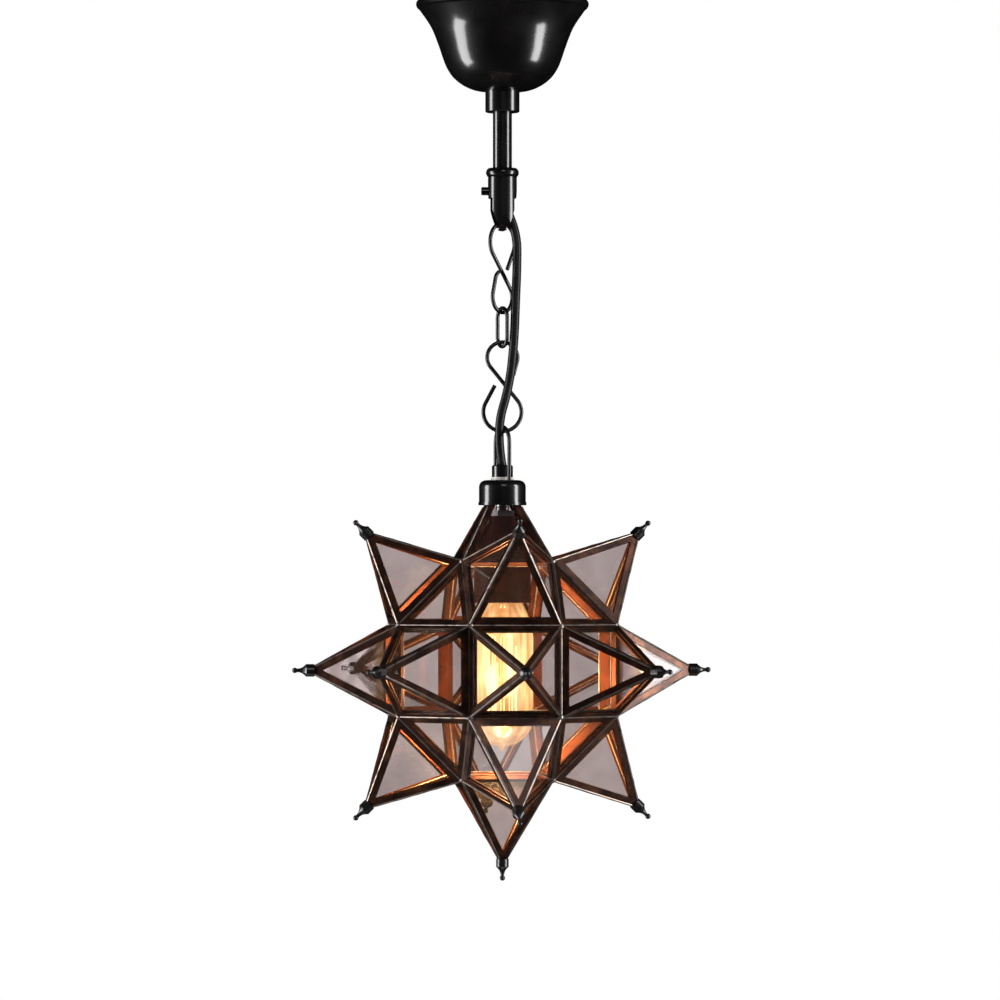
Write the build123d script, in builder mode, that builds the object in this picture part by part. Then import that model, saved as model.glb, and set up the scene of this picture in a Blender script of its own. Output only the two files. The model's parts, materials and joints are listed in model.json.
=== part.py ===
import os
from math import atan2, cos, degrees, pi, radians, sin, sqrt, tan

from build123d import *

os.makedirs("parts", exist_ok=True)

# Origin: centre of the fixing plane on the ceiling. +Z up, -Y the front, millimetres.

# ---- the star ----
CENTRE_Z = -500.0                 # star's centre below the ceiling
S = 33.2                          # half the edge of one square opening
H = S * (1 + sqrt(2))             # square openings lie this far from the star's centre
TIP = 143.7                       # a point's sharp tip, from the star's centre
TIP_CUT = 137.5                   # frames are cut flat here, under the finial
CAME = 3.6                        # depth of the lead channel round each pane
CAME_FACE = 5.0                   # width of the channel's outer face
GROOVE_FACE = 3.5                 # edge of the slot the glass stands in
GLASS_FACE = 3.6                  # edge of the glass
GLASS_TOP, GLASS_T = 0.5, 2.0     # glass: depth below the channel's face, thickness
SEAT = 0.05                       # play of the glass in its slot
SEAM = 0.6                        # bevel along the seams between two channels
DOOR_GAP = 0.4                    # gap round the hinged point

# ---- hanging parts ----
WIRE_R = 1.45                     # links and bail
PLAY = 0.3                        # between two hooked wires at rest
CABLE_R = 3.28
LINK_BIG, LINK_SMALL, LINK_H = 14.0, 11.2, 65.1   # wire centre lines
LINK_MID = 33.6                   # the big loop's far end, from where the wire crosses the middle
OVAL_R, OVAL_H = 7.3, 28.1
UPPER_TURN, OVAL_TURN, BAIL_TURN = 44.0, 112.0, 18.0
SADDLE_Z = -176.0                 # top of the yoke's saddle
STEM_R, STEM_BORE = 6.95, 5.0
STEM_TOP, STEM_END = -10.0, -146.0
LEAD_END = -143.0
CAP_R, CAP_TOP, CAP_END, CAP_WALL = 17.1, -361.4, -379.6, 1.3
GLAND_TOP = -350.4

z_upper = SADDLE_Z + WIRE_R + PLAY + 0.5          # top wire centre of the upper link
z_oval = z_upper - LINK_H + 2 * WIRE_R + PLAY
z_lower = z_oval - OVAL_H + 2 * WIRE_R + PLAY
z_bail = z_lower - LINK_H + 2 * WIRE_R + PLAY


def save(part, name):
    """Label one finished piece and write its STEP file."""
    part.label = name
    export_step(part, f"parts/{name}.step")


def ring(z, height, outer, inner=0.0):
    """A flat ring or disc from z upwards, added to the part being built."""
    with BuildSketch(Plane.XY.offset(z)) as disc:
        Circle(outer)
        if inner > 0:
            Circle(inner, mode=Mode.SUBTRACT)
    extrude(disc.sketch, amount=height)


def bore(z, height, radius):
    """A round hole on the Z axis from z upwards."""
    with BuildSketch(Plane.XY.offset(z)) as disc:
        Circle(radius)
    extrude(disc.sketch, amount=height, mode=Mode.SUBTRACT)


# ---------------------------------------------------------------- ceiling bracket
FOOT_IN, FOOT_OUT, STRAP_W, STRAP_T, DROP = 27.0, 48.0, 20.0, 2.0, 16.0
SLOT_X, SLOT_L, SLOT_R = 38.0, 13.0, 2.4

with BuildPart() as ceiling_bracket:
    with BuildSketch(Plane.XZ) as strap:
        with BuildLine():
            Polyline(
                (FOOT_OUT, 0), (FOOT_IN, 0), (FOOT_IN - 3, -DROP), (-FOOT_IN + 3, -DROP),
                (-FOOT_IN, 0), (-FOOT_OUT, 0), (-FOOT_OUT, -STRAP_T), (-FOOT_IN - 1.6, -STRAP_T),
                (-FOOT_IN + 1.4, -DROP - STRAP_T), (FOOT_IN - 1.4, -DROP - STRAP_T),
                (FOOT_IN + 1.6, -STRAP_T), (FOOT_OUT, -STRAP_T), close=True)
        make_face()
    extrude(amount=STRAP_W / 2, both=True)
    with BuildSketch(Plane.XY.offset(-STRAP_T)):
        with Locations((-SLOT_X, 0), (SLOT_X, 0)):
            SlotOverall(SLOT_L, 2 * SLOT_R)
    extrude(amount=STRAP_T, mode=Mode.SUBTRACT)
    bore(-DROP - STRAP_T, STRAP_T, STEM_R + 0.1)
    with BuildSketch(Plane.XY.offset(-DROP - STRAP_T)):
        with Locations((-18, 0)):
            Circle(2.1)
        with Locations((19, 6.5), (19, -6.5)):
            Circle(1.4)
    extrude(amount=STRAP_T, mode=Mode.SUBTRACT)
save(ceiling_bracket.part, "ceiling_bracket")

NUT_AF, NUT_T, WASHER_T = 19.0, 3.6, 1.2
with BuildPart() as stem_lock_nuts:
    for z in (-DROP, -DROP - STRAP_T - WASHER_T - NUT_T):
        with BuildSketch(Plane.XY.offset(z)):
            RegularPolygon(NUT_AF / 2, 6, major_radius=False)
            Circle(STEM_R + 0.05, mode=Mode.SUBTRACT)
        extrude(amount=NUT_T)
save(stem_lock_nuts.part, "stem_lock_nuts")

with BuildPart() as stem_washer:
    ring(-DROP - STRAP_T - WASHER_T, WASHER_T, 11.5, STEM_R + 0.1)
save(stem_washer.part, "stem_washer")

with BuildPart() as earth_screw:
    with BuildSketch(Plane.XY.offset(-DROP - STRAP_T - 2.4)):
        with Locations((-18, 0)):
            Circle(3.6)
    extrude(amount=2.4)
    with BuildSketch(Plane.XY.offset(-DROP - STRAP_T)):
        with Locations((-18, 0)):
            Circle(2.0)
    extrude(amount=7)
    with BuildSketch(Plane.XY.offset(-DROP - STRAP_T - 2.4)):
        with Locations((-18, 0)):
            Rectangle(5, 0.9)
            Rectangle(0.9, 5)
    extrude(amount=1.2, mode=Mode.SUBTRACT)
save(earth_screw.part, "earth_screw")

# The three-way terminal block stands on the strap, between it and the ceiling.
BLOCK_X0, BLOCK_X1, BLOCK_Y, BLOCK_H = 13.5, 24.0, 14.0, 11.0
with BuildPart() as terminal_block:
    with BuildSketch(Plane.XY.offset(-DROP)):
        with Locations(((BLOCK_X0 + BLOCK_X1) / 2, 0)):
            RectangleRounded(BLOCK_X1 - BLOCK_X0, 2 * BLOCK_Y, 1.2)
    extrude(amount=BLOCK_H)
    with BuildSketch(Plane.XY.offset(-DROP + BLOCK_H)):
        with Locations((19, 9), (19, 0), (19, -9)):
            Circle(2.6)
    extrude(amount=-5, mode=Mode.SUBTRACT)
    with BuildSketch(Plane.XY.offset(-DROP + BLOCK_H)):
        with Locations((19, 4.5), (19, -4.5)):
            Rectangle(BLOCK_X1 - BLOCK_X0, 1.2)
    extrude(amount=-3, mode=Mode.SUBTRACT)
with BuildPart() as terminal_screws:
    with BuildSketch(Plane.XY.offset(-DROP + BLOCK_H - 5)):
        with Locations((19, 9), (19, 0), (19, -9)):
            Circle(2.1)
    extrude(amount=3)
    with BuildSketch(Plane.XY.offset(-DROP + BLOCK_H - 2)):
        with Locations((19, 9), (19, 0), (19, -9)):
            Rectangle(4.4, 0.8)
    extrude(amount=-1, mode=Mode.SUBTRACT)
save(Compound(terminal_block.part.solids() + terminal_screws.part.solids()), "terminal_block")

with BuildPart() as conductors:
    for side in (-1, 0, 1):
        y0, y1 = 2.1 * side, 9.0 * side
        elbow = [(9.6, y1, -7.2)] if side else []
        with BuildLine() as core:
            FilletPolyline((0.5, y0, STEM_TOP), (0.5, y0, -7.2), *elbow, (BLOCK_X0, y1, -7.2), radius=1.4)
        with BuildSketch(Plane(origin=(0.5, y0, STEM_TOP), z_dir=(0, 0, 1))):
            Circle(0.95)
        sweep(path=core.line)
save(conductors.part, "conductors")

# ---------------------------------------------------------------- canopy and collar
DRUM_R, LIP_R, LIP_Z, BEAD, SHEET = 53.0, 63.1, -13.9, 3.5, 1.2
BOWL_Z, COLLAR_R, COLLAR_END = -77.4, 12.5, -92.7
with BuildPart() as canopy:
    with BuildSketch(Plane.XZ):
        with BuildLine():
            Polyline((DRUM_R - SHEET, 0), (DRUM_R, 0), (DRUM_R, LIP_Z + BEAD), (LIP_R - BEAD, LIP_Z + BEAD))
            ThreePointArc((LIP_R - BEAD, LIP_Z + BEAD), (LIP_R, LIP_Z), (61.0, -17.2))
            ThreePointArc((61.0, -17.2), (54.6, -26.6), (50.2, -34.0))
            ThreePointArc((50.2, -34.0), (46.0, -45.3), (41.4, -59.0))
            ThreePointArc((41.4, -59.0), (34.2, -68.8), (20.0, BOWL_Z))
            Polyline((20.0, BOWL_Z), (STEM_R + 0.4, BOWL_Z), (STEM_R + 0.4, BOWL_Z + SHEET), (20.0, BOWL_Z + SHEET))
            ThreePointArc((20.0, BOWL_Z + SHEET), (33.3, -67.9), (40.3, -58.5))
            ThreePointArc((40.3, -58.5), (44.9, -44.9), (49.1, -33.5))
            ThreePointArc((49.1, -33.5), (53.4, -26.2), (58.6, -18.2))
            Polyline((58.6, -18.2), (58.6, LIP_Z + BEAD - SHEET), (DRUM_R - SHEET, LIP_Z + BEAD - SHEET),
                     (DRUM_R - SHEET, 0))
        make_face()
    revolve(axis=Axis.Z)
save(canopy.part, "canopy")

GRUB_Z = (BOWL_Z + COLLAR_END) / 2
with BuildPart() as canopy_collar:
    ring(COLLAR_END, BOWL_Z - COLLAR_END, COLLAR_R, STEM_R + 0.06)
    chamfer(canopy_collar.edges().filter_by(GeomType.CIRCLE).group_by(Axis.Z)[0], 0.6)
    with BuildSketch(Plane.XZ.offset(-COLLAR_R - 1)):
        with Locations((0, GRUB_Z)):
            Circle(2.05)
    extrude(amount=COLLAR_R + 1 - STEM_R, mode=Mode.SUBTRACT)
save(canopy_collar.part, "canopy_collar")

with BuildPart() as collar_grub_screw:
    with BuildSketch(Plane.XZ.offset(-COLLAR_R + 0.2)):
        with Locations((0, GRUB_Z)):
            Circle(2.0)
    extrude(amount=COLLAR_R - 0.2 - STEM_R - 0.02)
    with BuildSketch(Plane.XZ.offset(-COLLAR_R + 0.2)):
        with Locations((0, GRUB_Z)):
            RegularPolygon(1.1, 6)
    extrude(amount=1.8, mode=Mode.SUBTRACT)
save(collar_grub_screw.part, "collar_grub_screw")

# ---------------------------------------------------------------- stem and yoke
with BuildPart() as stem:
    ring(STEM_END, STEM_TOP - STEM_END, STEM_R, STEM_BORE)
save(stem.part, "stem")

with BuildPart() as stem_lead:
    ring(LEAD_END, STEM_TOP - LEAD_END, CABLE_R)
save(stem_lead.part, "stem_lead")

FLANGE_R, FLANGE_TOP, FLANGE_END, HUB_R, HUB_END = 12.0, -133.6, -140.2, 10.2, -155.5
WINDOW, LEG_T, YOKE_END = 7.2, 3.4, -179.6
CROSS_Z = -150.4
with BuildPart() as hook_yoke:
    with BuildSketch(Plane.YZ):
        with BuildLine():
            half = WINDOW + LEG_T
            Line((half, FLANGE_END), (half, YOKE_END + half))
            ThreePointArc((half, YOKE_END + half), (0, YOKE_END), (-half, YOKE_END + half))
            Polyline((-half, YOKE_END + half), (-half, FLANGE_END), (half, FLANGE_END))
        make_face()
    extrude(amount=HUB_R, both=True)
    with BuildSketch(Plane.XZ):
        with BuildLine():
            ThreePointArc((4.0, -175.6), (7.9, -164.8), (HUB_R, -150.0))
            Polyline((HUB_R, -150.0), (HUB_R, FLANGE_END), (-HUB_R, FLANGE_END), (-HUB_R, -150.0))
            ThreePointArc((-HUB_R, -150.0), (-7.9, -164.8), (-4.0, -175.6))
            ThreePointArc((-4.0, -175.6), (0, YOKE_END), (4.0, -175.6))
        make_face()
    extrude(amount=HUB_R + 2, both=True, mode=Mode.INTERSECT)
    with BuildSketch(Plane.XY.offset(YOKE_END)):
        Circle(HUB_R + 0.6)
    extrude(amount=FLANGE_END - YOKE_END, mode=Mode.INTERSECT)
    with BuildSketch(Plane.YZ):
        with BuildLine():
            Line((WINDOW, HUB_END), (WINDOW, SADDLE_Z + WINDOW))
            ThreePointArc((WINDOW, SADDLE_Z + WINDOW), (0, SADDLE_Z), (-WINDOW, SADDLE_Z + WINDOW))
            Polyline((-WINDOW, SADDLE_Z + WINDOW), (-WINDOW, HUB_END), (WINDOW, HUB_END))
        make_face()
    extrude(amount=HUB_R + 2, both=True, mode=Mode.SUBTRACT)
    for side in (-1, 1):
        with BuildSketch(Plane.XZ):
            with BuildLine():
                Polyline((side * 1.6, SADDLE_Z + 4), (side * 1.6, SADDLE_Z - 0.4), (side * 2.4, SADDLE_Z - 2.2),
                         (side * 9, SADDLE_Z - 2.2), (side * 9, SADDLE_Z + 4), close=True)
            make_face()
        extrude(amount=WINDOW - 0.1, both=True, mode=Mode.SUBTRACT)
    with BuildSketch(Plane.XZ):
        with BuildLine():
            Polyline((0, FLANGE_END - 1), (0, FLANGE_TOP), (HUB_R, FLANGE_TOP))
            ThreePointArc((HUB_R, FLANGE_TOP), (FLANGE_R, (FLANGE_TOP + FLANGE_END) / 2), (HUB_R, FLANGE_END))
            Polyline((HUB_R, FLANGE_END), (HUB_R - 1, FLANGE_END - 1), (0, FLANGE_END - 1))
        make_face()
    revolve(axis=Axis.Z)
    bore(STEM_END, FLANGE_TOP - STEM_END, STEM_R + 0.05)
    bore(HUB_END - 1, STEM_END - HUB_END + 1, STEM_BORE)
    with BuildSketch(Plane.YZ.offset(-HUB_R - 1)):
        with Locations((0, CROSS_Z)):
            Circle(2.05)
    extrude(amount=HUB_R + 1 - STEM_BORE + 0.5, mode=Mode.SUBTRACT)
save(hook_yoke.part, "hook_yoke")

with BuildPart() as yoke_cross_screw:
    with BuildSketch(Plane.YZ.offset(-HUB_R)):
        with Locations((0, CROSS_Z)):
            Circle(2.0)
    extrude(amount=HUB_R - STEM_BORE - 0.1)
    with BuildSketch(Plane.YZ.offset(-HUB_R - 0.3)):
        with Locations((0, CROSS_Z)):
            Circle(3.0)
    extrude(amount=-4.8)
    with BuildSketch(Plane.YZ.offset(-HUB_R - 0.3)):
        with Locations((0, CROSS_Z)):
            Circle(2.0)
    extrude(amount=0.3)
    with BuildSketch(Plane.YZ.offset(-HUB_R - 5.1)):
        with Locations((0, CROSS_Z)):
            Rectangle(0.9, 6.2)
    extrude(amount=1.3, mode=Mode.SUBTRACT)
save(yoke_cross_screw.part, "yoke_cross_screw")


# ---------------------------------------------------------------- links and bail
def link_plane(z_top, turn, inverted):
    """The S-link's own plane: origin between its loops, y towards the small loop."""
    flip = -1 if inverted else 1
    a = radians(turn)
    z_mid = z_top - LINK_MID if inverted else z_top - (LINK_H - LINK_MID)
    return Plane(origin=(0, 0, z_mid), x_dir=(flip * cos(a), flip * sin(a), 0), z_dir=(sin(a), -cos(a), 0))


def s_link(z_top, turn, inverted):
    """One bent-wire S-link. Both free ends run out straight from their loop."""
    big_y = LINK_BIG - LINK_MID                   # centre of the big loop
    small_y = LINK_H - LINK_MID - LINK_SMALL      # centre of the small loop
    cross = degrees(atan2(LINK_BIG + LINK_SMALL, sqrt((small_y - big_y) ** 2 - (LINK_BIG + LINK_SMALL) ** 2)))
    reach, tail = 14.6, 10.4                      # straight lengths of the two free ends
    a0, b0 = 152.0, -15.0                         # where they leave their loops
    start = (LINK_BIG * cos(radians(a0)) + reach * sin(radians(a0)),
             big_y + LINK_BIG * sin(radians(a0)) - reach * cos(radians(a0)))
    end = (LINK_SMALL * cos(radians(b0)) + tail * sin(radians(b0)),
           small_y + LINK_SMALL * sin(radians(b0)) - tail * cos(radians(b0)))
    with BuildPart() as link:
        with BuildLine(link_plane(z_top, turn, inverted)) as wire:
            Line(start, (LINK_BIG * cos(radians(a0)), big_y + LINK_BIG * sin(radians(a0))))
            CenterArc((0, big_y), LINK_BIG, a0, 360 + cross - a0)
            Line((LINK_BIG * cos(radians(cross)), big_y + LINK_BIG * sin(radians(cross))),
                 (-LINK_SMALL * cos(radians(cross)), small_y - LINK_SMALL * sin(radians(cross))))
            CenterArc((0, small_y), LINK_SMALL, 180 + cross, b0 - 180 - cross)
            Line((LINK_SMALL * cos(radians(b0)), small_y + LINK_SMALL * sin(radians(b0))), end)
        with BuildSketch(wire.line ^ 0):
            Circle(WIRE_R)
        sweep(path=wire.line)
    return link.part


save(s_link(z_upper, UPPER_TURN, True), "upper_s_link")
save(s_link(z_lower, 0.0, False), "lower_s_link")

oval_a = radians(OVAL_TURN)
oval_plane = Plane(origin=(0, 0, z_oval - OVAL_H / 2), x_dir=(cos(oval_a), sin(oval_a), 0),
                   z_dir=(sin(oval_a), -cos(oval_a), 0))
OVAL_STRAIGHT = OVAL_H / 2 - OVAL_R
with BuildPart() as oval_link:
    with BuildLine(oval_plane) as wire:
        Line((-OVAL_R, 0), (-OVAL_R, OVAL_STRAIGHT))
        ThreePointArc((-OVAL_R, OVAL_STRAIGHT), (0, OVAL_H / 2), (OVAL_R, OVAL_STRAIGHT))
        Line((OVAL_R, OVAL_STRAIGHT), (OVAL_R, -OVAL_STRAIGHT))
        ThreePointArc((OVAL_R, -OVAL_STRAIGHT), (0, -OVAL_H / 2), (-OVAL_R, -OVAL_STRAIGHT))
        Line((-OVAL_R, -OVAL_STRAIGHT), (-OVAL_R, 0))
    with BuildSketch(wire.line ^ 0):
        Circle(WIRE_R)
    sweep(path=wire.line)
save(oval_link.part, "oval_link")

BAIL_R, BAIL_END = 12.0, -365.4
bail_a = radians(BAIL_TURN - 90)
bail_plane = Plane(origin=(0, 0, z_bail - BAIL_R), x_dir=(cos(bail_a), sin(bail_a), 0),
                   z_dir=(sin(bail_a), -cos(bail_a), 0))
with BuildPart() as bail:
    with BuildLine(bail_plane) as wire:
        foot = BAIL_END - (z_bail - BAIL_R)
        Line((-BAIL_R, foot), (-BAIL_R, 0))
        ThreePointArc((-BAIL_R, 0), (0, BAIL_R), (BAIL_R, 0))
        Line((BAIL_R, 0), (BAIL_R, foot))
    with BuildSketch(wire.line ^ 0):
        Circle(WIRE_R)
    sweep(path=wire.line)
    for side in (-1, 1):
        with BuildSketch(Plane.XY.offset(BAIL_END)):
            with Locations((side * BAIL_R * cos(bail_a), side * BAIL_R * sin(bail_a))):
                Circle(2.4)
        extrude(amount=1.2)
save(bail.part, "bail")

# ---------------------------------------------------------------- supply cable
CABLE = [(0, 0, LEAD_END), (0, 0, -156), (10.6, -1, -181), (10.4, -3.5, -205), (9.0, -5.5, -232),
         (8.0, -5.8, -260), (4.6, -5.9, -292), (-5.4, -5.8, -326), (0, 0, -351.4)]


def bend_radii(points):
    """One radius per corner, from the shorter run at the corner and half the turn."""
    radii = []
    for a, b, c in zip(points, points[1:], points[2:]):
        u, v = Vector(b) - Vector(a), Vector(c) - Vector(b)
        radii.append(0.45 * min(u.length, v.length) / tan(radians(u.get_angle(v) / 2)))
    return radii


radii = bend_radii(CABLE)
print("cable radii", [round(r, 1) for r in radii])
with BuildPart() as supply_cable:
    with BuildLine() as route:
        FilletPolyline(*CABLE, radius=radii)
    with BuildSketch(Plane(origin=CABLE[0], z_dir=(0, 0, -1))):
        Circle(CABLE_R)
    sweep(path=route.line)
save(supply_cable.part, "supply_cable")
route_length = sum(e.length for e in route.edges())
print("cable length", round(route_length, 1), "volume ratio",
      round(supply_cable.part.volume / (route_length * pi * CABLE_R ** 2), 4))

# ---------------------------------------------------------------- gland, cap and nipple
with BuildPart() as cable_gland:
    ring(-359.2, GLAND_TOP + 359.2, 7.7)
    chamfer(cable_gland.edges().filter_by(GeomType.CIRCLE).group_by(Axis.Z)[-1], 0.9)
    bore(-352.4, 2.2, 4.7)
    bore(-359.2, 7.0, 2.6)
    bore(-359.2, 4.7, 4.95)
save(cable_gland.part, "cable_gland")

with BuildPart() as gland_washer:
    ring(CAP_TOP, 2.2, 8.4, 4.95)
save(gland_washer.part, "gland_washer")

with BuildPart() as star_cap:
    ring(CAP_END, CAP_TOP - CAP_END, CAP_R)
    fillet(star_cap.edges().filter_by(GeomType.CIRCLE).group_by(Axis.Z)[-1], 5.0)
    with BuildSketch(Plane.XY.offset(CAP_END)):
        Circle(CAP_R + 0.5)
    extrude(amount=2.2)
    hollow = CAP_R - CAP_WALL
    with BuildSketch(Plane.XZ):
        with BuildLine():
            Polyline((0, CAP_END), (hollow, CAP_END), (hollow, CAP_TOP - 5.0))
            RadiusArc((hollow, CAP_TOP - 5.0), (hollow - 3.7, CAP_TOP - CAP_WALL), -3.7)
            Polyline((hollow - 3.7, CAP_TOP - CAP_WALL), (0, CAP_TOP - CAP_WALL), (0, CAP_END))
        make_face()
    revolve(axis=Axis.Z, mode=Mode.SUBTRACT)
    bore(CAP_TOP - 2, 3, 4.95)
    with BuildSketch(Plane.XY.offset(CAP_TOP - 4)):
        with Locations((BAIL_R * cos(bail_a), BAIL_R * sin(bail_a)), (-BAIL_R * cos(bail_a), -BAIL_R * sin(bail_a))):
            Circle(WIRE_R + 0.05)
    extrude(amount=5, mode=Mode.SUBTRACT)
save(star_cap.part, "star_cap")

COVER_TOP, COVER_END, SKIRT_END, SKIRT_R = -387.6, -421.2, -451.1, 20.8
with BuildPart() as cap_nipple:
    ring(-391.0, 36.4, 4.9, 3.5)
save(cap_nipple.part, "cap_nipple")

with BuildPart() as nipple_nuts:
    for z in (CAP_TOP - CAP_WALL - 4.0, COVER_TOP):
        with BuildSketch(Plane.XY.offset(z)):
            RegularPolygon(7.5, 6, major_radius=False)
            Circle(4.95, mode=Mode.SUBTRACT)
        extrude(amount=4.0)
save(nipple_nuts.part, "nipple_nuts")

# ---------------------------------------------------------------- lampholder and bulb
with BuildPart() as holder_cover:
    with BuildSketch(Plane.XZ):
        with BuildLine():
            Polyline((4.95, COVER_TOP), (9.0, COVER_TOP))
            ThreePointArc((9.0, COVER_TOP), (14.4, -404.0), (SKIRT_R, COVER_END))
            Polyline((SKIRT_R, COVER_END), (SKIRT_R - 2.0, COVER_END))
            ThreePointArc((SKIRT_R - 2.0, COVER_END), (12.4, -404.6), (8.0, COVER_TOP - 2.4))
            Polyline((8.0, COVER_TOP - 2.4), (4.95, COVER_TOP - 2.4), (4.95, COVER_TOP))
        make_face()
    revolve(axis=Axis.Z)
save(holder_cover.part, "holder_cover")

THREAD_R, THREAD_WALL, CAPS_R = 14.2, 0.6, 13.3
with BuildPart() as holder_skirt:
    ring(SKIRT_END, COVER_END - SKIRT_END, SKIRT_R, SKIRT_R - 2.0)
    ring(COVER_END - 5.0, 3.0, SKIRT_R - 2.0, THREAD_R)
    fillet(holder_skirt.edges().filter_by(GeomType.CIRCLE).group_by(Axis.Z)[0], 0.8)
save(holder_skirt.part, "holder_skirt")

with BuildPart() as holder_thread:
    ring(SKIRT_END + 3.0, COVER_END - SKIRT_END - 4.0, THREAD_R, THREAD_R - THREAD_WALL)
with BuildPart() as holder_contact:
    with BuildSketch(Plane.XY.offset(-422.2)):
        Circle(THREAD_R)
    extrude(amount=3.0)
    with BuildSketch(Plane.XY.offset(-424.2)):
        Circle(3.4)
    extrude(amount=2.0)
save(Compound(holder_thread.part.solids() + holder_contact.part.solids()), "holder_insert")

BULB_R, BULB_END, NECK_R, NECK_Z = 22.6, -559.5, 13.9, -449.6
with BuildPart() as bulb_cap:
    ring(NECK_Z, 21.2, CAPS_R - 0.1, CAPS_R - 1.0)
    for turn in range(5):
        with BuildSketch(Plane.XY.offset(NECK_Z + 2.2 + turn * 3.6)):
            Circle(CAPS_R + 0.25)
            Circle(CAPS_R - 0.3, mode=Mode.SUBTRACT)
        extrude(amount=1.6)
    ring(NECK_Z + 21.2, 1.4, CAPS_R - 1.4)
    ring(NECK_Z + 22.6, 2.3, 4.6)
save(bulb_cap.part, "bulb_cap")

with BuildPart() as bulb_glass:
    with BuildSketch(Plane.XZ):
        with BuildLine():
            Line((0, BULB_END), (1.6, BULB_END + 0.6))
            ThreePointArc((1.6, BULB_END + 0.6), (2.0, BULB_END + 2.4), (3.2, BULB_END + 3.6))
            ThreePointArc((3.2, BULB_END + 3.6), (16.4, -549.4), (BULB_R, -536.0))
            Line((BULB_R, -536.0), (BULB_R, -476.0))
            ThreePointArc((BULB_R, -476.0), (19.6, -462.6), (NECK_R, NECK_Z))
            Line((NECK_R, NECK_Z), (NECK_R - 0.8, NECK_Z))
            ThreePointArc((NECK_R - 0.8, NECK_Z), (18.9, -463.0), (BULB_R - 0.8, -476.2))
            Line((BULB_R - 0.8, -476.2), (BULB_R - 0.8, -535.9))
            ThreePointArc((BULB_R - 0.8, -535.9), (15.8, -548.8), (3.0, BULB_END + 4.5))
            Polyline((3.0, BULB_END + 4.5), (0, BULB_END + 3.4), (0, BULB_END))
        make_face()
    revolve(axis=Axis.Z)
save(bulb_glass.part, "bulb_glass")

CAGE_R, CAGE_TOP, CAGE_END, STRANDS = 10.5, -474.0, -541.0, 10
with BuildPart() as bulb_stem:
    with BuildSketch(Plane.XZ):
        with BuildLine():
            Polyline((0, NECK_Z - 2.0), (11.5, NECK_Z - 2.0))
            ThreePointArc((11.5, NECK_Z - 2.0), (5.6, -457.5), (3.2, -470.0))
            Polyline((3.2, -470.0), (2.2, CAGE_END + 4.0), (3.0, CAGE_END + 2.0), (0, CAGE_END + 1.0),
                     (0, NECK_Z - 2.0))
        make_face()
    revolve(axis=Axis.Z)
save(bulb_stem.part, "bulb_stem")

cage = []
for strand in range(STRANDS):
    angle = 2 * pi * (strand + 0.5) / STRANDS
    ends = (CAGE_TOP, CAGE_END) if strand % 2 == 0 else (CAGE_END, CAGE_TOP)
    for z in ends:
        cage.append((CAGE_R * cos(angle), CAGE_R * sin(angle), z))
with BuildPart() as filament:
    with BuildLine() as coil:
        Polyline(*cage)
    with BuildSketch(Plane(origin=cage[0], z_dir=(0, 0, -1))):
        Rectangle(0.8, 0.8)
    sweep(path=coil.line, transition=Transition.RIGHT)
save(filament.part, "filament")

# ---------------------------------------------------------------- star: one glazed point
SLANT = sqrt(S ** 2 + (TIP - H) ** 2)             # from the middle of a square's edge to the tip
PANE_D = S * TIP / SLANT                          # a point's panes lie this far from the star's centre
PANE_N = (TIP - H) / SLANT                        # pane's outward normal: sideways part
PANE_U = S / SLANT                                # pane's outward normal: along the point
FOOT_Y = sqrt(S ** 2 + H ** 2 - PANE_D ** 2)      # pane's base edge above the foot of its normal


def pane_plane(quarter):
    """Plane of one of the point's four panes. y runs up to the tip."""
    a = radians(90 * quarter)
    side = (cos(a), sin(a))
    n = (PANE_N * side[0], PANE_N * side[1], PANE_U)
    return Plane(origin=(PANE_D * n[0], PANE_D * n[1], PANE_D * n[2]), x_dir=(-side[1], side[0], 0), z_dir=n)


def pane_corners(gap=0.0, scale=1.0):
    """The pane's triangle in that plane, its base edge raised by the gap."""
    half = S * (1 - gap / SLANT)
    return [(-half * scale, (FOOT_Y + gap) * scale), (half * scale, (FOOT_Y + gap) * scale),
            (0, (FOOT_Y + SLANT) * scale)]


def point_frame(gap=0.0):
    """Four mitred lead channels round the panes of one point, built on +Z."""
    inner = 1 - CAME / PANE_D
    with BuildPart() as frame:
        for quarter in range(4):
            pane = pane_plane(quarter)
            with BuildSketch(pane):
                Polygon(*pane_corners(gap))
            with BuildSketch(pane.offset(-CAME)):
                Polygon(*pane_corners(gap, inner))
            loft(ruled=True)
        seams = [e for e in frame.edges() if e.length > 60
                 and any(abs(Vector(v.X, v.Y, v.Z).length - sqrt(2 * S * S + H * H)) < 1.0 for v in e.vertices())]
        chamfer(seams, SEAM)
        for quarter in range(4):
            pane = pane_plane(quarter)
            with BuildSketch(pane.offset(1)):
                Polygon(*pane_corners(gap))
                offset(amount=-CAME_FACE, kind=Kind.INTERSECTION)
            extrude(amount=-CAME - 1.2, mode=Mode.SUBTRACT)
            with BuildSketch(pane.offset(SEAT - GLASS_TOP)):
                Polygon(*pane_corners(gap))
                offset(amount=-GROOVE_FACE, kind=Kind.INTERSECTION)
            extrude(amount=-GLASS_T - 2 * SEAT, mode=Mode.SUBTRACT)
        with BuildSketch(Plane.XY.offset(TIP_CUT)):
            Circle(12)
        extrude(amount=12, mode=Mode.SUBTRACT)
    return frame.part


def point_glass(gap=0.0):
    """The four triangular panes of one point, built on +Z."""
    with BuildPart() as glass:
        for quarter in range(4):
            with BuildSketch(pane_plane(quarter).offset(-GLASS_TOP)):
                Polygon(*pane_corners(gap))
                offset(amount=-GLASS_FACE, kind=Kind.INTERSECTION)
            extrude(amount=-GLASS_T)
        with BuildSketch(Plane.XY.offset(TIP_CUT - 0.3)):
            Circle(12)
        extrude(amount=12, mode=Mode.SUBTRACT)
    return glass.part


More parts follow.
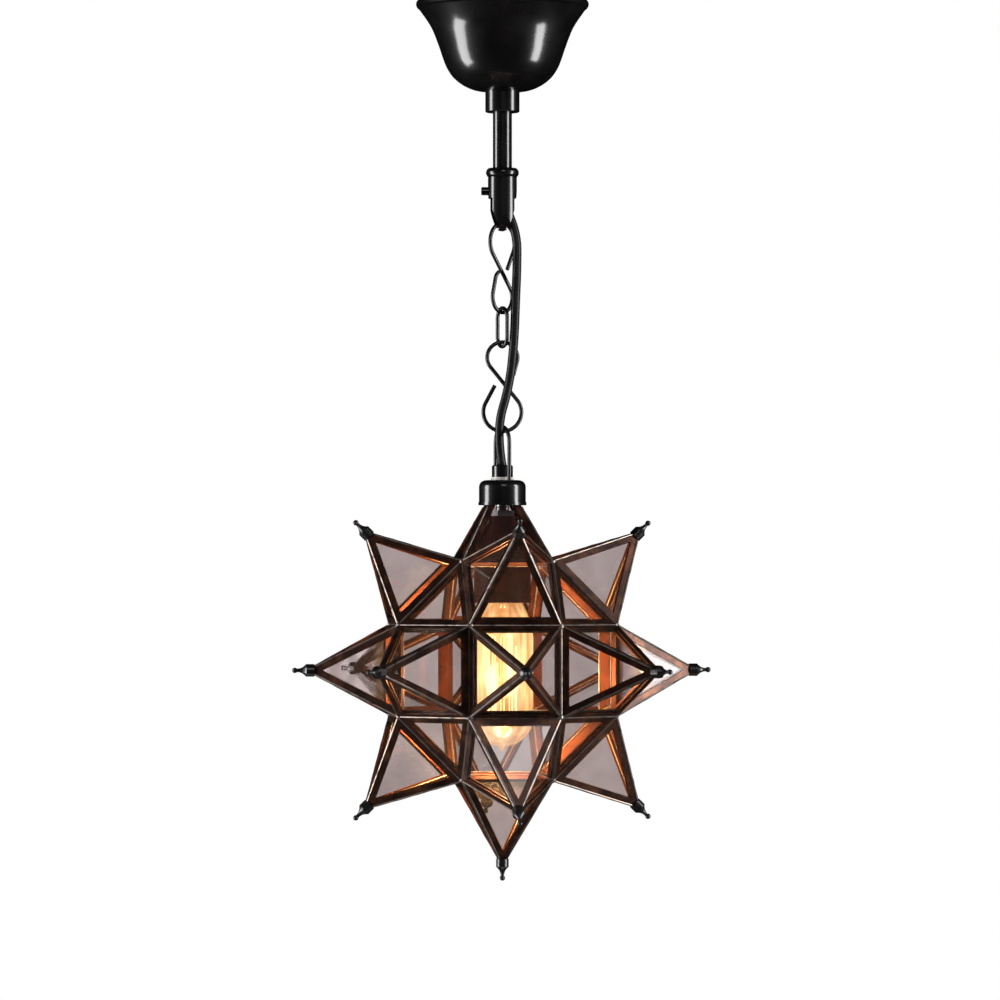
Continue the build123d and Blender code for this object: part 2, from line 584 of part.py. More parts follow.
def placed(part, direction, along):
    """A copy of a piece built on +Z about the origin, turned to its own direction on the star."""
    return Plane(origin=(0, 0, CENTRE_Z), x_dir=along, z_dir=direction).location * part


X, Y, Z = (1, 0, 0), (0, 1, 0), (0, 0, 1)
POINTS = {
    "right": (X, Y), "left": ((-1, 0, 0), Y), "front": ((0, -1, 0), Z), "bottom": ((0, 0, -1), X),
    "upper_right": ((1, 0, 1), Y), "upper_left": ((-1, 0, 1), Y),
    "lower_right": ((1, 0, -1), Y), "lower_left": ((-1, 0, -1), Y),
    "upper_front": ((0, -1, 1), X), "upper_rear": ((0, 1, 1), X),
    "lower_front": ((0, -1, -1), X), "lower_rear": ((0, 1, -1), X),
    "front_right": ((1, -1, 0), Z), "front_left": ((-1, -1, 0), Z),
    "rear_right": ((1, 1, 0), Z), "rear_left": ((-1, 1, 0), Z),
}
LEVELS = {
    "upper_glass": ["upper_right", "upper_left", "upper_front", "upper_rear"],
    "middle_glass": ["right", "left", "front", "front_right", "front_left", "rear_right", "rear_left"],
    "lower_glass": ["bottom", "lower_right", "lower_left", "lower_front", "lower_rear"],
}

frame_piece, glass_piece = point_frame(), point_glass()
for name, (direction, along) in POINTS.items():
    save(placed(frame_piece, direction, along), f"frame_{name}")

# The top point is cut off where the cap sits; its four corner bars stand inside the cap.
TOP_CUT = 122.4
with BuildPart() as frame_top:
    add(placed(frame_piece, Z, X))
    with BuildSketch(Plane.XY.offset(CENTRE_Z + TOP_CUT)):
        Circle(30)
    extrude(amount=30, mode=Mode.SUBTRACT)
    with BuildSketch(Plane.XY.offset(CAP_END - 0.02)):
        Circle(30)
        Circle(hollow - 0.15, mode=Mode.SUBTRACT)
    extrude(amount=20, mode=Mode.SUBTRACT)
save(frame_top.part, "frame_top")

with BuildPart() as top_glass:
    add(placed(glass_piece, Z, X))
    with BuildSketch(Plane.XY.offset(CENTRE_Z + TOP_CUT - 3.0)):
        Circle(30)
    extrude(amount=40, mode=Mode.SUBTRACT)

for level, names in LEVELS.items():
    panes = [placed(glass_piece, *POINTS[n]).solids()[k] for n in names for k in range(4)]
    if level == "upper_glass":
        panes += top_glass.part.solids()
    save(Compound(panes), level)

# ---------------------------------------------------------------- star: corner triangles
CORNER_D = (2 * S + H) / sqrt(3)                  # the eight corner panes lie this far out
CORNER_R = 2 * S / sqrt(3)                        # corner of the triangle from its middle
with BuildPart() as corner_frame:
    face = Plane.XY.offset(CORNER_D)
    with BuildSketch(face):
        RegularPolygon(CORNER_R, 3)
    with BuildSketch(face.offset(-CAME)):
        RegularPolygon(CORNER_R * (1 - CAME / CORNER_D), 3)
    loft(ruled=True)
    chamfer(corner_frame.faces().sort_by(Axis.Z)[-1].edges(), SEAM)
    with BuildSketch(face.offset(1)):
        RegularPolygon(CORNER_R - 2 * CAME_FACE, 3)
    extrude(amount=-CAME - 1.2, mode=Mode.SUBTRACT)
    with BuildSketch(face.offset(SEAT - GLASS_TOP)):
        RegularPolygon(CORNER_R - 2 * GROOVE_FACE, 3)
    extrude(amount=-GLASS_T - 2 * SEAT, mode=Mode.SUBTRACT)
with BuildPart() as corner_pane:
    with BuildSketch(face.offset(-GLASS_TOP)):
        RegularPolygon(CORNER_R - 2 * GLASS_FACE, 3)
    extrude(amount=-GLASS_T)

corners = []
for sx in (-1, 1):
    for sy in (-1, 1):
        for sz in (-1, 1):
            middle = Vector(sx, sy, sz)
            to_corner = Vector(sx * S, sy * S, sz * H) - Vector(sx, sy, sz) * ((2 * S + H) / 3)
            corners.append((tuple(middle), tuple(to_corner)))
save(Compound([placed(corner_frame.part, m, c).solids()[0] for m, c in corners]), "corner_frames")
save(Compound([placed(corner_pane.part, m, c).solids()[0] for m, c in corners]), "corner_glass")

# ---------------------------------------------------------------- star: finials
FINIAL_R, NECK, BALL_R = 4.6, 1.3, 2.0
with BuildPart() as finial:
    with BuildSketch(Plane.XZ):
        with BuildLine():
            Polyline((0, TIP_CUT), (FINIAL_R - 0.5, TIP_CUT), (FINIAL_R, TIP_CUT + 0.5), (FINIAL_R, TIP_CUT + 6.2),
                     (FINIAL_R - 0.8, TIP_CUT + 7.0))
            ThreePointArc((FINIAL_R - 0.8, TIP_CUT + 7.0), (2.0, TIP_CUT + 9.4), (NECK, TIP_CUT + 12.9))
            Polyline((NECK, TIP_CUT + 12.9), (0, TIP_CUT + 12.9), (0, TIP_CUT))
        make_face()
    revolve(axis=Axis.Z)
    with Locations((0, 0, TIP_CUT + 14.4)):
        Sphere(BALL_R)
save(Compound([placed(finial.part, d, a).solids()[0] for d, a in POINTS.values()]), "tip_finials")

# ---------------------------------------------------------------- star: hinged rear point
save(placed(point_frame(DOOR_GAP), Y, X), "door_frame")
save(placed(point_glass(DOOR_GAP), Y, X), "door_glass")
save(placed(finial.part, Y, X), "door_finial")

HINGE_OUT, KNUCKLE_R, PIN_R, KNUCKLE, HINGE_H = 3.0, 1.75, 0.75, 10.0, 31.0
valley = Vector(-S, H, CENTRE_Z)
outward = Vector(-S, H, 0).normalized()
hinge_at = valley + outward * HINGE_OUT
print("hinge at", tuple(round(c, 3) for c in hinge_at))


def leaf_section(mirror):
    """Sketch of one hinge leaf seen from above: knuckle, web and the foot on the channel's face."""
    u = Vector(S, TIP - H, 0).normalized()
    if mirror:
        u = outward * (2 * u.dot(outward)) - u
    n = Vector(-u.Y, u.X, 0)
    if n.dot(outward) < 0:
        n = -n
    foot = [valley + u * s + n * t for s, t in ((0.7, 0.02), (3.1, 0.02), (3.1, 0.75), (0.7, 0.75))]
    web = [valley + u * s + n * t for s, t in ((1.25, 0.05), (2.6, 0.05), (2.6, 2.3), (1.25, 2.3))]
    Polygon(*[(p.X, p.Y) for p in foot])
    Polygon(*[(p.X, p.Y) for p in web])
    with Locations((hinge_at.X, hinge_at.Y)):
        Circle(KNUCKLE_R)
        Circle(PIN_R + 0.05, mode=Mode.SUBTRACT)


with BuildPart() as hinge_fixed:
    for z in (CENTRE_Z + KNUCKLE / 2 + 0.3, CENTRE_Z - HINGE_H / 2):
        with BuildSketch(Plane.XY.offset(z)):
            leaf_section(True)
        extrude(amount=HINGE_H / 2 - KNUCKLE / 2 - 0.3)
save(hinge_fixed.part, "hinge_fixed")

with BuildPart() as hinge_leaf:
    with BuildSketch(Plane.XY.offset(CENTRE_Z - KNUCKLE / 2)):
        leaf_section(False)
    extrude(amount=KNUCKLE)
save(hinge_leaf.part, "hinge_leaf")

with BuildPart() as hinge_pin:
    with BuildSketch(Plane.XY.offset(CENTRE_Z - HINGE_H / 2 - 0.6)):
        with Locations((hinge_at.X, hinge_at.Y)):
            Circle(PIN_R)
    extrude(amount=HINGE_H + 1.2)
    for z in (CENTRE_Z + HINGE_H / 2 + 0.05, CENTRE_Z - HINGE_H / 2 - 1.05):
        with BuildSketch(Plane.XY.offset(z)):
            with Locations((hinge_at.X, hinge_at.Y)):
                Circle(PIN_R + 0.5)
        extrude(amount=1.0)
save(hinge_pin.part, "hinge_pin")

# A springy tab on the door's free edge presses on the neighbouring channel and holds the door shut.
tab_u = Vector(-S, TIP - H, 0).normalized()
tab_n = Vector(TIP - H, S, 0).normalized()
edge = Vector(S, H, CENTRE_Z)
next_u = Vector(S, H, 0).normalized()
next_u = next_u * (2 * next_u.dot(tab_u)) - tab_u
next_n = Vector(next_u.Y, -next_u.X, 0)
if next_n.dot(Vector(S, H, 0)) < 0:
    next_n = -next_n
with BuildPart() as door_catch:
    with BuildSketch(Plane.XY.offset(CENTRE_Z - 4)):
        tab = [edge + tab_u * 3.0 + tab_n * 0.02, edge + tab_u * 3.0 + tab_n * 0.7, edge + tab_u * 1.0 + tab_n * 0.9,
               edge + (tab_n + next_n) * 1.0, edge + next_u * 1.0 + next_n * 0.9, edge + next_u * 3.0 + next_n * 0.7,
               edge + next_u * 3.0 + next_n * 0.1, edge + (tab_n + next_n) * 0.35, edge + tab_u * 0.8 + tab_n * 0.02]
        Polygon(*[(p.X, p.Y) for p in tab])
    extrude(amount=8)
save(door_catch.part, "door_catch")
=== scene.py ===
import json
from math import cos, hypot, pi, radians, sin, sqrt

import bmesh
import bpy
from mathutils import Matrix, Vector, noise


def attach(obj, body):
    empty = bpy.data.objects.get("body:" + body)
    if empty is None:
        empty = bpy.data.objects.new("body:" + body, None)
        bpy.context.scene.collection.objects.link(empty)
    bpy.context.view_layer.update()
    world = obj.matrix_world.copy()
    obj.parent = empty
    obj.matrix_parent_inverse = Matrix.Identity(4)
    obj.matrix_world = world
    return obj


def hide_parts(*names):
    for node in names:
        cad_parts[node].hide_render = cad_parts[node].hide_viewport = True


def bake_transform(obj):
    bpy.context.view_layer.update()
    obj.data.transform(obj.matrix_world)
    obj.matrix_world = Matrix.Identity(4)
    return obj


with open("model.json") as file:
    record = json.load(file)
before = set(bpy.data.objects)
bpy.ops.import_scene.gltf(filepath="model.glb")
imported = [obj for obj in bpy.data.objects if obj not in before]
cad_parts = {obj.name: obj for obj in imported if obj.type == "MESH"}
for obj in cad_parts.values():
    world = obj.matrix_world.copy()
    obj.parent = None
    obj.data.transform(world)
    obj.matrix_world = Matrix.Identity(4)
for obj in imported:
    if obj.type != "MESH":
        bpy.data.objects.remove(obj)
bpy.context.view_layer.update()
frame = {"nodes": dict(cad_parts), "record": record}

MM = 0.001
SHARP = radians(38)                      # edges bent more than this stay crisp

# ------------------------------------------------------------------ sizes, as in the solids (mm)
CENTRE = Vector((0, 0, -500.0))
S = 33.2
H = S * (1 + sqrt(2))
TIP, TIP_CUT = 143.7, 137.5
CABLE_R, CABLE_SIDES = 3.28, 28
LAMP_LOW, LAMP_HIGH = -559.5, -449.0
CABLE = [(0, 0, -143), (0, 0, -156), (10.6, -1, -181), (10.4, -3.5, -205), (9.0, -5.5, -232),
         (8.0, -5.8, -260), (4.6, -5.9, -292), (-5.4, -5.8, -326), (0, 0, -351.4)]

# ------------------------------------------------------------------ camera
# The star stands 3.65 m from the lens; one pixel of the photograph is 0.7305 mm there.
DISTANCE, PIXEL, AZIMUTH, ELEVATION = 3.65, 0.7305 * MM, radians(-6.7), radians(0.9)
back = Vector((sin(AZIMUTH) * cos(ELEVATION), -cos(AZIMUTH) * cos(ELEVATION), sin(ELEVATION)))
camera = bpy.data.objects.new("camera", bpy.data.cameras.new("camera"))
bpy.context.scene.collection.objects.link(camera)
camera.location = CENTRE * MM + back * DISTANCE
camera.rotation_euler = (radians(90), 0, AZIMUTH)
camera.data.sensor_width = 36
camera.data.lens = DISTANCE / PIXEL * 36 / 1000
star_row = 500 + sin(ELEVATION) * DISTANCE / PIXEL       # the star's row with no shift
camera.data.shift_y = (670.0 - star_row) / 1000
camera.data.shift_x = -0.0024
bpy.context.scene.camera = camera


# ------------------------------------------------------------------ small tools
def linear(hex_colour):
    """An sRGB hex colour as linear RGBA."""
    parts = [int(hex_colour[k:k + 2], 16) / 255 for k in (1, 3, 5)]
    return tuple(c / 12.92 if c <= 0.04045 else ((c + 0.055) / 1.055) ** 2.4 for c in parts) + (1.0,)


def add_node(tree, kind, inputs=None, **settings):
    """Add one node. Inputs are values or other nodes' outputs, by socket name or number."""
    made = tree.nodes.new(kind)
    for key, value in settings.items():
        setattr(made, key, value)
    for key, value in (inputs or {}).items():
        if isinstance(value, bpy.types.NodeSocket):
            tree.links.new(value, made.inputs[key])
        else:
            made.inputs[key].default_value = value
    return made


def new_finish(name):
    """An empty material with its tree and output."""
    finish = bpy.data.materials.new(name)
    finish.use_nodes = True
    finish.node_tree.nodes.clear()
    return finish, finish.node_tree, add_node(finish.node_tree, "ShaderNodeOutputMaterial")


def ramp(tree, factor, stops, interpolation="LINEAR"):
    """Colours or greys over a factor from 0 to 1."""
    made = add_node(tree, "ShaderNodeValToRGB", {"Fac": factor})
    made.color_ramp.interpolation = interpolation
    while len(made.color_ramp.elements) < len(stops):
        made.color_ramp.elements.new(0.5)
    for element, (place, colour) in zip(made.color_ramp.elements, stops):
        element.position = place
        element.color = linear(colour) if isinstance(colour, str) else (colour, colour, colour, 1)
    return made.outputs["Color"]


def piece_from(name, bm, body, finish):
    """Turn a bmesh in millimetres into a piece, which rides on a body if one is named."""
    mesh = bpy.data.meshes.new(name)
    bmesh.ops.transform(bm, matrix=Matrix.Scale(MM, 4), verts=bm.verts)
    bm.to_mesh(mesh)
    bm.free()
    for polygon in mesh.polygons:
        polygon.use_smooth = True
    mesh.set_sharp_from_angle(angle=SHARP)
    piece = bpy.data.objects.new(name, mesh)
    bpy.context.scene.collection.objects.link(piece)
    mesh.materials.append(finish)
    if body:
        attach(piece, body)
    return piece


def turned(bm, profile, steps=96, closed=False):
    """Spin a profile of (radius, height) round the Z axis."""
    rings = []
    for radius, height in profile:
        if radius < 1e-6:
            rings.append([bm.verts.new((0, 0, height))])
        else:
            angles = [2 * pi * k / steps for k in range(steps)]
            rings.append([bm.verts.new((radius * cos(a), radius * sin(a), height)) for a in angles])
    pairs = list(zip(rings, rings[1:]))
    if closed:
        pairs.append((rings[-1], rings[0]))
    for low, high in pairs:
        for k in range(steps):
            corners = [low[k % len(low)], low[(k + 1) % len(low)], high[(k + 1) % len(high)],
                       high[k % len(high)]]
            corners = [v for i, v in enumerate(corners) if v not in corners[:i]]
            if len(corners) > 2:
                bm.faces.new(corners)
    bmesh.ops.recalc_face_normals(bm, faces=bm.faces)


def arc_through(a, b, c, steps=12):
    """Points of the arc from a through b to c."""
    (ax, ay), (bx, by), (cx, cy) = a, b, c
    d = 2 * (ax * (by - cy) + bx * (cy - ay) + cx * (ay - by))
    a2, b2, c2 = ax * ax + ay * ay, bx * bx + by * by, cx * cx + cy * cy
    ux = (a2 * (by - cy) + b2 * (cy - ay) + c2 * (ay - by)) / d
    uy = (a2 * (cx - bx) + b2 * (ax - cx) + c2 * (bx - ax)) / d
    start, middle, end = Vector((ax - ux, ay - uy)), Vector((bx - ux, by - uy)), Vector((cx - ux, cy - uy))
    total = start.angle_signed(middle) + middle.angle_signed(end)
    turns = [-total * k / steps for k in range(steps + 1)]
    return [(ux + start.x * cos(turn) - start.y * sin(turn), uy + start.x * sin(turn) + start.y * cos(turn))
            for turn in turns]


def tube(bm, path, radius, sides=10, wobble=0.0, flat=1.0, up=None, caps=True):
    """Sweep a round or flattened bead along a path of points."""
    path = [Vector(p) for p in path]
    side = None
    rings = []
    for k, p in enumerate(path):
        along = (path[min(k + 1, len(path) - 1)] - path[max(k - 1, 0)]).normalized()
        if up is not None:
            side = along.cross(up).normalized()
        elif side is None:
            side = along.orthogonal().normalized()
        else:
            side = (side - along * side.dot(along)).normalized()
        lift = side.cross(along)
        r = radius * (1 + wobble * noise.noise(p * 0.35)) if wobble else radius
        ring = []
        for j in range(sides):
            angle = 2 * pi * j / sides
            ring.append(bm.verts.new(p + side * r * cos(angle) + lift * r * flat * sin(angle)))
        rings.append(ring)
    for low, high in zip(rings, rings[1:]):
        for j in range(sides):
            bm.faces.new((low[j], low[(j + 1) % sides], high[(j + 1) % sides], high[j]))
    if caps:
        bm.faces.new(rings[0][::-1])
        bm.faces.new(rings[-1])


# ------------------------------------------------------------------ finishes
# Gloss enamel, dipped over spun steel: near black, with a clear skin that carries soft window-like streaks.
black_enamel, tree, out = new_finish("black_enamel")
place = add_node(tree, "ShaderNodeTexCoord")
peel = add_node(tree, "ShaderNodeTexNoise",
                {"Vector": place.outputs["Object"], "Scale": 1 / (14 * MM), "Detail": 1.0})
bump = add_node(tree, "ShaderNodeBump",
                {"Height": peel.outputs["Fac"], "Strength": 0.05, "Distance": 0.2 * MM})
smear = add_node(tree, "ShaderNodeTexNoise",
                 {"Vector": place.outputs["Object"], "Scale": 1 / (22 * MM), "Detail": 4.0})
skin = add_node(tree, "ShaderNodeBsdfPrincipled", {
    "Base Color": ramp(tree, smear.outputs["Fac"], [(0.3, "#070607"), (0.75, "#100e10")]),
    "Roughness": ramp(tree, smear.outputs["Fac"], [(0.3, 0.3), (0.7, 0.42)]),
    "Specular IOR Level": 0.12, "Coat Weight": 1.0, "Coat Roughness": 0.15,
    "Normal": bump.outputs["Normal"]})
tree.links.new(skin.outputs[0], out.inputs["Surface"])

# Satin black lacquer on drawn and bent wire.
wire_lacquer, tree, out = new_finish("wire_lacquer")
place = add_node(tree, "ShaderNodeTexCoord")
drag = add_node(tree, "ShaderNodeTexNoise",
                {"Vector": place.outputs["Object"], "Scale": 1 / (3 * MM), "Detail": 3.0})
bump = add_node(tree, "ShaderNodeBump",
                {"Height": drag.outputs["Fac"], "Strength": 0.15, "Distance": 0.15 * MM})
skin = add_node(tree, "ShaderNodeBsdfPrincipled", {
    "Base Color": ramp(tree, drag.outputs["Fac"], [(0.35, "#0b0a0a"), (0.8, "#1d1a19")]),
    "Roughness": 0.34, "Coat Weight": 0.35, "Coat Roughness": 0.2, "Normal": bump.outputs["Normal"]})
tree.links.new(skin.outputs[0], out.inputs["Surface"])

# Copper-plated channel, blackened and rubbed brown outside. The faces toward the lamp are painted a warmer
# copper, a painted glow of the lamp's light.
patina, tree, out = new_finish("patina_channel")
place = add_node(tree, "ShaderNodeTexCoord")
from_centre = add_node(tree, "ShaderNodeVectorMath", {0: place.outputs["Object"], 1: CENTRE * MM},
                       operation="SUBTRACT")
ray_out = add_node(tree, "ShaderNodeVectorMath", {0: from_centre.outputs[0]}, operation="NORMALIZE")
facing = add_node(tree, "ShaderNodeVectorMath", {0: ray_out.outputs[0], 1: place.outputs["Normal"]},
                  operation="DOT_PRODUCT")
cloud = add_node(tree, "ShaderNodeTexNoise",
                 {"Vector": place.outputs["Object"], "Scale": 1 / (14 * MM), "Detail": 5.0,
                                              "Roughness": 0.6})
grain = add_node(tree, "ShaderNodeTexNoise",
                 {"Vector": place.outputs["Object"], "Scale": 1 / (1.3 * MM), "Detail": 3.0})
bump = add_node(tree, "ShaderNodeBump",
                {"Height": grain.outputs["Fac"], "Strength": 0.05, "Distance": 0.15 * MM})
outer = ramp(tree, cloud.outputs["Fac"], [(0.3, "#211612"), (0.52, "#40281f"), (0.78, "#744b34")])
# Painted lamp glow: the faces turned to the lamp take this warmer, brighter copper instead of the outer patina.
inner = ramp(tree, cloud.outputs["Fac"], [(0.3, "#4a2214"), (0.7, "#84462a")])
near = add_node(tree, "ShaderNodeVectorMath", {0: from_centre.outputs[0]}, operation="LENGTH")
not_finial = add_node(tree, "ShaderNodeMath", {0: near.outputs["Value"], 1: (TIP_CUT - 1) * MM},
                      operation="LESS_THAN")
lamp_glow_mask = add_node(tree, "ShaderNodeMath", {
    0: ramp(tree, facing.outputs["Value"], [(0.0, 1.0), (0.12, 0.0)]), 1: not_finial.outputs[0]},
    operation="MULTIPLY")
tone = add_node(tree, "ShaderNodeMix", {"Factor": lamp_glow_mask.outputs[0], "A": outer, "B": inner},
                data_type="RGBA")
skin = add_node(tree, "ShaderNodeBsdfPrincipled", {
    "Base Color": tone.outputs["Result"], "Metallic": 0.7,
    "Roughness": ramp(tree, grain.outputs["Fac"], [(0.3, 0.28), (0.7, 0.36)]),
    "Normal": bump.outputs["Normal"]})
tree.links.new(skin.outputs[0], out.inputs["Surface"])

# Tin and lead solder run along the seams: dull pewter, browned by the patina and coppery in places.
solder, tree, out = new_finish("solder")
place = add_node(tree, "ShaderNodeTexCoord")
cloud = add_node(tree, "ShaderNodeTexNoise",
                 {"Vector": place.outputs["Object"], "Scale": 1 / (6 * MM), "Detail": 4.0})
ripple = add_node(tree, "ShaderNodeTexNoise",
                  {"Vector": place.outputs["Object"], "Scale": 1 / (1.5 * MM), "Detail": 2.0})
bump = add_node(tree, "ShaderNodeBump",
                {"Height": ripple.outputs["Fac"], "Strength": 0.4, "Distance": 0.2 * MM})
skin = add_node(tree, "ShaderNodeBsdfPrincipled", {
    "Base Color": ramp(tree, cloud.outputs["Fac"], [(0.3, "#49403b"), (0.5, "#8b827d"), (0.75, "#a07a5e")]),
    "Metallic": 0.9, "Roughness": 0.38, "Normal": bump.outputs["Normal"]})
tree.links.new(skin.outputs[0], out.inputs["Surface"])

# Painted highlight: the beads inside are a lighter copy of the solder, so that the lamp turns them to bright
# gold lines.
lamp_lit_solder, tree, out = new_finish("lamp_lit_solder_bead")
place = add_node(tree, "ShaderNodeTexCoord")
ripple = add_node(tree, "ShaderNodeTexNoise",
                  {"Vector": place.outputs["Object"], "Scale": 1 / (2.5 * MM), "Detail": 2.0})
skin = add_node(tree, "ShaderNodeBsdfPrincipled", {
    "Base Color": ramp(tree, ripple.outputs["Fac"], [(0.35, "#b3a48c"), (0.65, "#ddd2bd")]),
    "Metallic": 0.85,
    "Roughness": 0.34})
tree.links.new(skin.outputs[0], out.inputs["Surface"])


def glass_mirror(tree, strength, roughness, **settings):
    """The share of light a glass face mirrors, from 4 % straight on to all of it at a graze, and the mirror."""
    edge = add_node(tree, "ShaderNodeLayerWeight", {"Blend": 0.5, **settings})
    steep = add_node(tree, "ShaderNodeMath", {0: edge.outputs["Facing"], 1: 5.0}, operation="POWER")
    share = add_node(tree, "ShaderNodeMath", {0: steep.outputs[0], 1: strength * 0.96, 2: strength * 0.04},
                     operation="MULTIPLY_ADD")
    mirror = add_node(tree, "ShaderNodeBsdfGlossy",
                      {"Color": (1, 1, 1, 1), "Roughness": roughness, **settings})
    return share.outputs[0], mirror.outputs[0]


def sheet_glass(name, tint_low, tint_high, patch, wave, film):
    """Thin glass: light goes straight on with a tint, and each face mirrors a little."""
    made, tree, out = new_finish(name)
    place = add_node(tree, "ShaderNodeTexCoord")
    haze = add_node(tree, "ShaderNodeTexNoise",
                    {"Vector": place.outputs["Object"], "Scale": 1 / patch, "Detail": 5.0,
                                                 "Roughness": 0.55})
    ream = add_node(tree, "ShaderNodeTexNoise",
                    {"Vector": place.outputs["Object"], "Scale": 1 / wave, "Detail": 1.0})
    bump = add_node(tree, "ShaderNodeBump",
                    {"Height": ream.outputs["Fac"], "Strength": 0.05, "Distance": 0.4 * MM})
    tint = ramp(tree, haze.outputs["Fac"], [(0.3, tint_low), (0.7, tint_high)])
    through = add_node(tree, "ShaderNodeBsdfTransparent", {"Color": tint})
    # Many panes stand behind one another, so half the light is passed on as refraction that doesn't bend:
    # the renderer counts the two kinds apart and follows a ray through twice as many panes. Shadows and
    # mirrored light pass in the first way alone, so that a mirrored ray still meets the dark tent.
    straight = add_node(tree, "ShaderNodeBsdfRefraction", {"Color": tint, "IOR": 1.0, "Roughness": 0.0})
    ray = add_node(tree, "ShaderNodeLightPath")
    one_way = add_node(tree, "ShaderNodeMath",
                       {0: ray.outputs["Is Shadow Ray"], 1: ray.outputs["Is Glossy Ray"]},
                       operation="MAXIMUM")
    half = add_node(tree, "ShaderNodeMath", {0: one_way.outputs[0], 1: -0.5, 2: 0.5},
                    operation="MULTIPLY_ADD")
    passed = add_node(tree, "ShaderNodeMixShader", {0: half.outputs[0], 1: through.outputs[0],
                                                    2: straight.outputs[0]})
    # A thin film of dust catches the lamp's light, most on the panes nearest to it.
    dust_front = add_node(tree, "ShaderNodeBsdfDiffuse", {"Color": linear("#e8e2dc")})
    dust_back = add_node(tree, "ShaderNodeBsdfTranslucent", {"Color": linear("#e8e2dc")})
    dust = add_node(tree, "ShaderNodeMixShader",
                    {0: 0.6, 1: dust_front.outputs[0], 2: dust_back.outputs[0]})
    filmed = add_node(tree, "ShaderNodeMixShader", {0: film, 1: passed.outputs[0], 2: dust.outputs[0]})
    share, mirror = glass_mirror(tree, 0.8, 0.03, Normal=bump.outputs["Normal"])
    mixed = add_node(tree, "ShaderNodeMixShader", {0: share, 1: filmed.outputs[0], 2: mirror})
    tree.links.new(mixed.outputs[0], out.inputs["Surface"])
    return made


# Drawn sheet glass, faintly smoked: each face takes a little light, with soft cloudy patches.
pane_glass = sheet_glass("smoked_sheet_glass", "#e0dbdb", "#ebe7e7", 30 * MM, 25 * MM, 0.009)
# The lamp's inner glass stem.
stem_glass = sheet_glass("lamp_stem_glass", "#fff3e0", "#fffaf0", 20 * MM, 8 * MM, 0.0)

# Lamp glass over a burning filament, with painted glare: the glass itself glows warm, brightest at mid-height
# and whitest in streaks by the strands.
lamp_glass, tree, out = new_finish("lit_lamp_glass")
place = add_node(tree, "ShaderNodeTexCoord")
split = add_node(tree, "ShaderNodeSeparateXYZ", {"Vector": place.outputs["Object"]})
height = add_node(tree, "ShaderNodeMapRange",
                  {"Value": split.outputs["Z"], "From Min": LAMP_LOW * MM, "From Max": LAMP_HIGH * MM})
stretched = add_node(tree, "ShaderNodeVectorMath", {0: place.outputs["Object"], 1: (1.0, 1.0, 0.1)},
                     operation="MULTIPLY")
streak = add_node(tree, "ShaderNodeTexNoise",
                  {"Vector": stretched.outputs[0], "Scale": 1 / (6 * MM), "Detail": 3.0})
brightness = add_node(tree, "ShaderNodeMath", {
    0: ramp(tree, height.outputs[0], [(0.0, 0.5), (0.2, 0.62), (0.5, 1.0), (0.8, 0.85), (1.0, 0.5)]),
    1: ramp(tree, streak.outputs["Fac"], [(0.35, 0.6), (0.62, 1.0)])}, operation="MULTIPLY")
strength = add_node(tree, "ShaderNodeMath", {0: brightness.outputs[0], 1: 4.0}, operation="MULTIPLY")
glare = add_node(tree, "ShaderNodeEmission", {
    "Color": ramp(tree, streak.outputs["Fac"], [(0.35, "#f2a55a"), (0.65, "#ffdf9c")]),
    "Strength": strength.outputs[0]})
clear = add_node(tree, "ShaderNodeBsdfTransparent", {"Color": linear("#fff4e2")})
veil = ramp(tree, height.outputs[0], [(0.0, 0.3), (0.15, 0.5), (0.4, 0.7), (0.8, 0.7), (1.0, 0.4)])
body = add_node(tree, "ShaderNodeMixShader", {0: veil, 1: clear.outputs[0], 2: glare.outputs[0]})
share, mirror = glass_mirror(tree, 0.8, 0.02)
mixed = add_node(tree, "ShaderNodeMixShader", {0: share, 1: body.outputs[0], 2: mirror})
tree.links.new(mixed.outputs[0], out.inputs["Surface"])

# Carbon filament, burning.
filament_glow, tree, out = new_finish("burning_filament")
glow = add_node(tree, "ShaderNodeEmission", {"Color": linear("#ffd79a"), "Strength": 14.0})
tree.links.new(glow.outputs[0], out.inputs["Surface"])

# Phenolic moulding: very dark brown with faint flow marks, its gloss dulled by the lamp's heat.
phenolic, tree, out = new_finish("phenolic_moulding")
place = add_node(tree, "ShaderNodeTexCoord")
flow = add_node(tree, "ShaderNodeTexNoise",
                {"Vector": place.outputs["Object"], "Scale": 1 / (9 * MM), "Detail": 4.0,
                                             "Distortion": 1.2})
skin = add_node(tree, "ShaderNodeBsdfPrincipled", {
    "Base Color": ramp(tree, flow.outputs["Fac"], [(0.3, "#2a110a"), (0.7, "#4c2214")]),
    "Roughness": 0.42, "Specular IOR Level": 0.14})
tree.links.new(skin.outputs[0], out.inputs["Surface"])

# Rolled brass: warm, with fine turning lines round it.
brass, tree, out = new_finish("rolled_brass")
place = add_node(tree, "ShaderNodeTexCoord")
tarnish = add_node(tree, "ShaderNodeTexNoise",
                   {"Vector": place.outputs["Object"], "Scale": 1 / (5 * MM), "Detail": 4.0})
skin = add_node(tree, "ShaderNodeBsdfPrincipled", {
    "Base Color": ramp(tree, tarnish.outputs["Fac"], [(0.3, "#a8803c"), (0.7, "#d3b069")]), "Metallic": 1.0,
    "Roughness": ramp(tree, tarnish.outputs["Fac"], [(0.3, 0.38), (0.7, 0.24)])})
tree.links.new(skin.outputs[0], out.inputs["Surface"])

